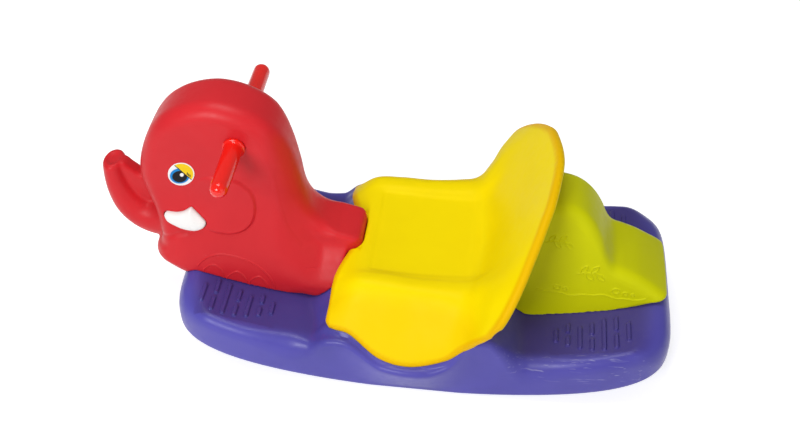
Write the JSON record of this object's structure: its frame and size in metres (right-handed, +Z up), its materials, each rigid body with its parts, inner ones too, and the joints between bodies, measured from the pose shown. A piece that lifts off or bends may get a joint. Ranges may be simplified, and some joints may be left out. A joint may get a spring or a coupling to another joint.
{
  "type": "rocking elephant",
  "caption": "Child's ride-on rocking elephant of moulded plastic: rocker base, head with trunk and hand grips, saddle seat with high back, and rump.",
  "frame": {"origin": "on the floor under the middle of the rocker, in the centre plane", "axes": "+Z up, -X towards the trunk, +X towards the tail, +Y to the side of the right hand grip"},
  "size_m": [0.9659, 0.4692, 0.447],
  "materials": {
    "base_purple": "satin moulded polyethylene with a fine grain",
    "shell_red": "satin moulded polyethylene with a fine grain",
    "seat_yellow": "satin moulded polyethylene",
    "rump_green": "satin moulded polyethylene",
    "grip_red": "glossy injection moulded plastic",
    "tusk_white": "smooth white plastic",
    "eye_sticker": "printed vinyl sticker: white oval, blue iris, black pupil, yellow lid",
    "zinc": "zinc plated steel"
  },
  "bodies": {
    "root": {"rocker_base": "base_purple", "head_shell": "shell_red", "saddle_seat": "seat_yellow", "rump_shell": "rump_green", "grip_left": "grip_red", "grip_right": "grip_red", "grip_rod": "zinc", "tusk_left": "tusk_white", "tusk_right": "tusk_white", "eye_left": "eye_sticker", "eye_right": "eye_sticker", "screw_head_front": "zinc", "screw_head_rear": "zinc", "screw_seat_left": "zinc", "screw_seat_right": "zinc", "screw_rump_front": "zinc", "screw_rump_rear": "zinc", "washer_head_front": "zinc", "washer_head_rear": "zinc", "washer_seat_left": "zinc", "washer_seat_right": "zinc", "washer_rump_front": "zinc", "washer_rump_rear": "zinc"}
  },
  "joints": []
}
